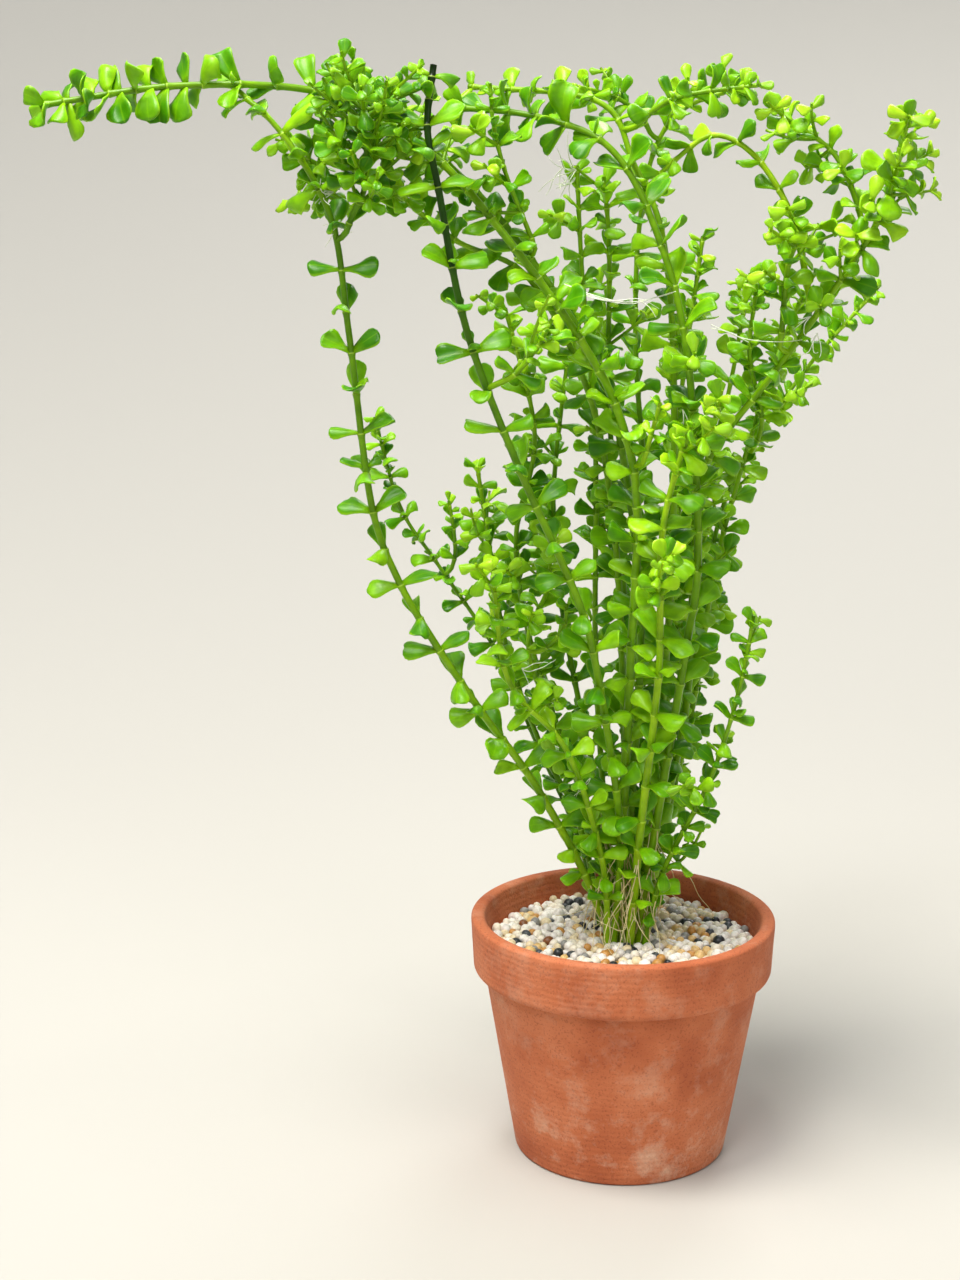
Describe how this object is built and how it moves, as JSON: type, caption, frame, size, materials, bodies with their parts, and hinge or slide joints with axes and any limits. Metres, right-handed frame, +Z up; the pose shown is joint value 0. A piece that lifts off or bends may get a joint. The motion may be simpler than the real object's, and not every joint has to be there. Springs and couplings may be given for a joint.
{
  "type": "potted bacopa",
  "caption": "Aquarium bacopa in a clay pot: a bunch of leafy stems fanning out of fine gravel, the tallest bending over to float sideways at the top.",
  "frame": {"origin": "middle of the pot's underside, on the surface the pot stands on", "axes": "+Z up, +X to the right as seen from the front, +Y away from the viewer"},
  "size_m": [0.2714, 0.1318, 0.3523],
  "materials": {
    "clay": "matte unglazed terracotta",
    "gravel": "smooth rounded quartz grains, cream with some ochre, grey and black",
    "leaf_and_stem": "satin, waxy living leaf"
  },
  "bodies": {
    "root": {"pot": "clay", "gravel": "gravel", "stem_far_left": "leaf_and_stem", "stem_floating_left": "leaf_and_stem", "stem_left_high": "leaf_and_stem", "stem_dark": "leaf_and_stem", "stem_right_bright": "leaf_and_stem", "stem_upright_right": "leaf_and_stem", "stem_centre_thin": "leaf_and_stem", "stem_centre_rear": "leaf_and_stem", "stem_left_rising": "leaf_and_stem", "stem_far_right": "leaf_and_stem", "stem_right_slim": "leaf_and_stem", "stem_right_front": "leaf_and_stem", "stem_left_front": "leaf_and_stem", "stem_left_bowed": "leaf_and_stem", "stem_rear_left": "leaf_and_stem", "stem_rear_right": "leaf_and_stem", "stem_front_bright": "leaf_and_stem", "stem_rear_lean_left": "leaf_and_stem", "stem_rear_wavy": "leaf_and_stem", "stem_rear_centre": "leaf_and_stem", "stem_rear_slant": "leaf_and_stem", "stem_rear_tall": "leaf_and_stem", "stem_rear_right_upright": "leaf_and_stem", "shoot_arch": "leaf_and_stem", "shoot_clump": "leaf_and_stem", "shoot_inner_right": "leaf_and_stem", "shoot_dark_side": "leaf_and_stem", "shoot_thin_high": "leaf_and_stem", "shoot_right_crown": "leaf_and_stem", "shoot_right_inner": "leaf_and_stem", "shoot_rear_left": "leaf_and_stem", "shoot_pale": "leaf_and_stem", "shoot_rosette": "leaf_and_stem", "shoot_hooked": "leaf_and_stem", "shoot_surface_right": "leaf_and_stem", "shoot_surface_rear": "leaf_and_stem", "shoot_drooping": "leaf_and_stem"}
  },
  "joints": []
}
